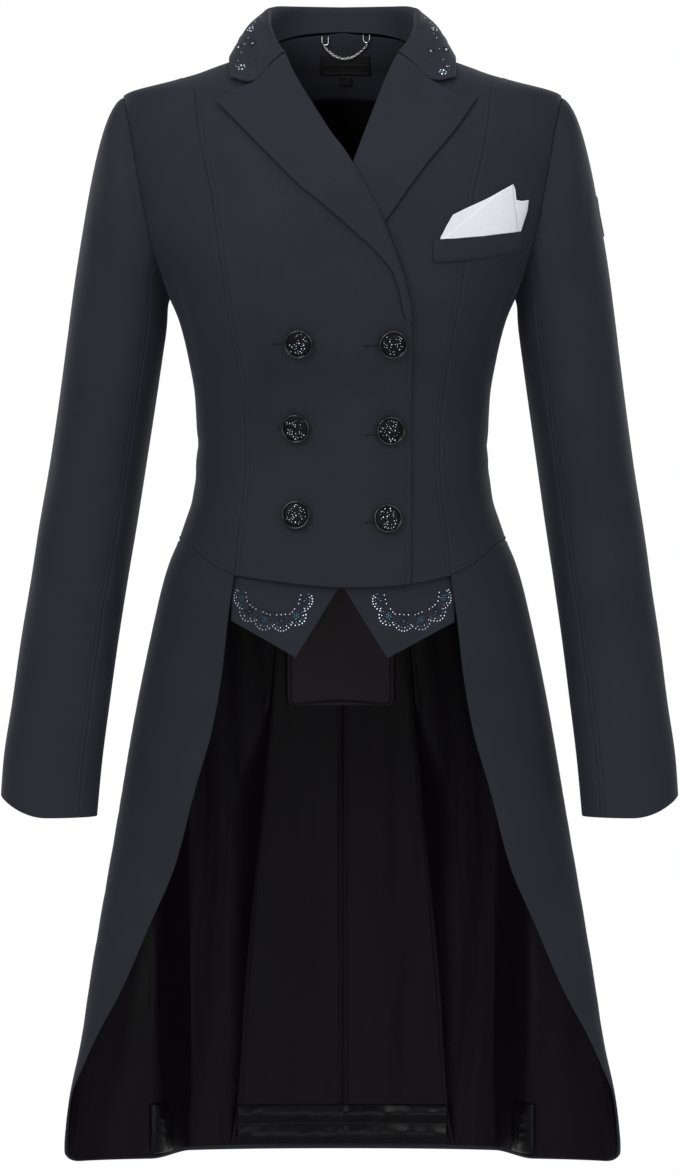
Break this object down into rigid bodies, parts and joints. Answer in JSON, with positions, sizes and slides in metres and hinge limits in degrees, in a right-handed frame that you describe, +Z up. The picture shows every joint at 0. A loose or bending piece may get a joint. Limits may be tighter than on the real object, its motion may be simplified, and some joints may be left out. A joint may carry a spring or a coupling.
{
  "type": "tailcoat",
  "caption": "Double-breasted tailcoat with short front, waistcoat points, long lined tails, peaked lapels and crystal trim, filled out as worn and hollow.",
  "frame": {"origin": "the middle of the shoulder line, inside the coat between the wearer's shoulders, where the wearer's body carries it", "axes": "+Z up, -Y to the coat's front, +X to the wearer's left"},
  "size_m": [0.5916, 0.2653, 1.0246],
  "materials": {
    "shell_cloth": "matt softshell with a fine weave",
    "collar_cloth": "matt softshell with rhinestone trim",
    "inner_flap_cloth": "matt woven cloth",
    "lining_satin": "satin lining",
    "casing_satin": "glossy puckered satin",
    "white_cloth": "white fine cotton",
    "label_tape": "woven tape",
    "button_gloss": "gloss black with clear crystals",
    "chain_metal": "polished links",
    "badge_rubber": "matt moulded rubber"
  },
  "bodies": {
    "root": {"back_left": "shell_cloth", "back_neck_facing": "lining_satin", "back_right": "shell_cloth", "button_bottom_left": "button_gloss", "button_bottom_right": "button_gloss", "button_middle_left": "button_gloss", "button_middle_right": "button_gloss", "button_top_left": "button_gloss", "button_top_right": "button_gloss", "collar": "collar_cloth", "fitting_left": "chain_metal", "fitting_right": "chain_metal", "front_left": "shell_cloth", "front_right": "shell_cloth", "hang_chain": "chain_metal", "hem_casing": "casing_satin", "hem_tab_left": "casing_satin", "hem_tab_right": "casing_satin", "inner_back_flap": "inner_flap_cloth", "lapel_left": "collar_cloth", "lapel_right": "collar_cloth", "lining_back_left": "lining_satin", "lining_back_right": "lining_satin", "lining_skirt_left": "lining_satin", "lining_skirt_right": "lining_satin", "neck_label": "label_tape", "pocket_square": "white_cloth", "pocket_welt": "collar_cloth", "side_back_left": "shell_cloth", "side_back_right": "shell_cloth", "side_front_left": "shell_cloth", "side_front_right": "shell_cloth", "size_tab": "label_tape", "skirt_left": "shell_cloth", "skirt_right": "shell_cloth", "sleeve_badge": "badge_rubber", "under_sleeve_left": "shell_cloth", "under_sleeve_right": "shell_cloth", "upper_sleeve_left": "shell_cloth", "upper_sleeve_right": "shell_cloth", "waistcoat_point_left": "collar_cloth", "waistcoat_point_right": "collar_cloth"}
  },
  "joints": []
}
